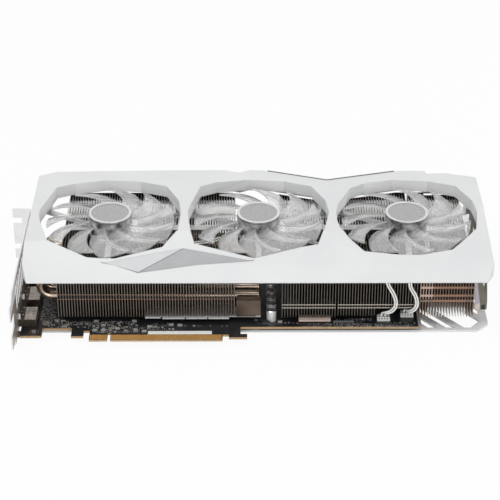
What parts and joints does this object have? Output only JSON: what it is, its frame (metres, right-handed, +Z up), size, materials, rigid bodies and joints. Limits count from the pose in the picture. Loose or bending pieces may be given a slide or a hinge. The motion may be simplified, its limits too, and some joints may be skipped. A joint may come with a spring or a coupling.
{
  "type": "graphics card",
  "caption": "Long faceted graphics card with a row of open axial fans over finned heat sinks, a slotted bracket and an edge connector; the fans spin freely.",
  "frame": {"origin": "centre of the overall box, at the underside of the backplate", "axes": "+X along the card from the bracket to the far end, +Y from the edge connector to the rear edge, +Z up through the fans"},
  "size_m": [0.3164, 0.1524, 0.0563],
  "materials": {
    "board_black": "matte solder mask over laminate",
    "contact_gold": "gold-plated contacts",
    "chip_green": "laminate chip carrier",
    "die_grey": "polished bare die",
    "chip_black": "moulded chip package",
    "choke_grey": "pressed powder choke",
    "can_metal": "bare can",
    "part_tan": "small ceramic parts",
    "pad_pink": "soft thermal pad",
    "socket_black": "moulded black plastic",
    "plug_white": "moulded white plastic",
    "lead_white": "white insulation",
    "bracket_steel": "plated sheet steel",
    "screw_steel": "plated steel",
    "port_metal": "plated shell",
    "backplate_grey": "satin sheet",
    "end_bracket_olive": "dark coated sheet",
    "plated_copper": "nickel-plated copper with a warm tint",
    "frame_alloy": "die-cast frame",
    "fin_alloy": "bare sheet fins",
    "shroud_white": "satin white moulding",
    "accent_light": "satin pale grey",
    "accent_grey": "satin grey",
    "trim_dark": "dark grey strip",
    "fan_white": "frosted white plastic",
    "cap_silver": "spun disc",
    "magnet_black": "bonded magnet strip",
    "winding_copper": "wound stator"
  },
  "bodies": {
    "card": {"board": "board_black", "edge_contacts": "contact_gold", "graphics_chip": "chip_green", "graphics_die": "die_grey", "memory_chips": "chip_black", "power_stages": "chip_black", "chokes": "choke_grey", "capacitors": "can_metal", "surface_parts": "part_tan", "thermal_pads": "pad_pink", "power_sockets": "socket_black", "power_pins": "contact_gold", "fan_headers": "plug_white", "fan_plugs": "plug_white", "fan_lead_right": "lead_white", "fan_lead_middle": "lead_white", "fan_lead_left": "lead_white", "io_bracket": "bracket_steel", "bracket_screws": "screw_steel", "display_sockets": "port_metal", "hdmi_socket": "port_metal", "socket_tongues": "socket_black", "backplate": "backplate_grey", "backplate_screws": "screw_steel", "cross_spring": "bracket_steel", "spring_screws": "screw_steel", "end_bracket": "end_bracket_olive", "cold_plate": "plated_copper", "base_frame": "frame_alloy", "side_block": "plated_copper", "heat_pipes": "plated_copper", "fins_left": "fin_alloy", "fins_middle": "fin_alloy", "fins_right": "fin_alloy", "fins_end": "fin_alloy", "shroud": "shroud_white", "accent_light": "accent_light", "accent_grey": "accent_grey", "rear_trim": "trim_dark", "shroud_screws": "screw_steel", "motor_screws": "screw_steel", "fan_left_base": "socket_black", "fan_left_stator": "winding_copper", "fan_middle_base": "socket_black", "fan_middle_stator": "winding_copper", "fan_right_base": "socket_black", "fan_right_stator": "winding_copper"},
    "fan_left": {"fan_left_rotor": "fan_white", "fan_left_cap": "cap_silver", "fan_left_shaft": "screw_steel", "fan_left_magnet": "magnet_black"},
    "fan_middle": {"fan_middle_rotor": "fan_white", "fan_middle_cap": "cap_silver", "fan_middle_shaft": "screw_steel", "fan_middle_magnet": "magnet_black"},
    "fan_right": {"fan_right_rotor": "fan_white", "fan_right_cap": "cap_silver", "fan_right_shaft": "screw_steel", "fan_right_magnet": "magnet_black"}
  },
  "joints": [
    {"name": "fan_left_spin", "type": "hinge", "parent": "card", "child": "fan_left", "pos_m": [-0.0893, 0.015, 0.04797], "axis": [0, 0, 1], "continuous": true},
    {"name": "fan_middle_spin", "type": "hinge", "parent": "card", "child": "fan_middle", "pos_m": [0.0087, 0.015, 0.04797], "axis": [0, 0, 1], "continuous": true},
    {"name": "fan_right_spin", "type": "hinge", "parent": "card", "child": "fan_right", "pos_m": [0.1067, 0.015, 0.04797], "axis": [0, 0, 1], "continuous": true}
  ]
}
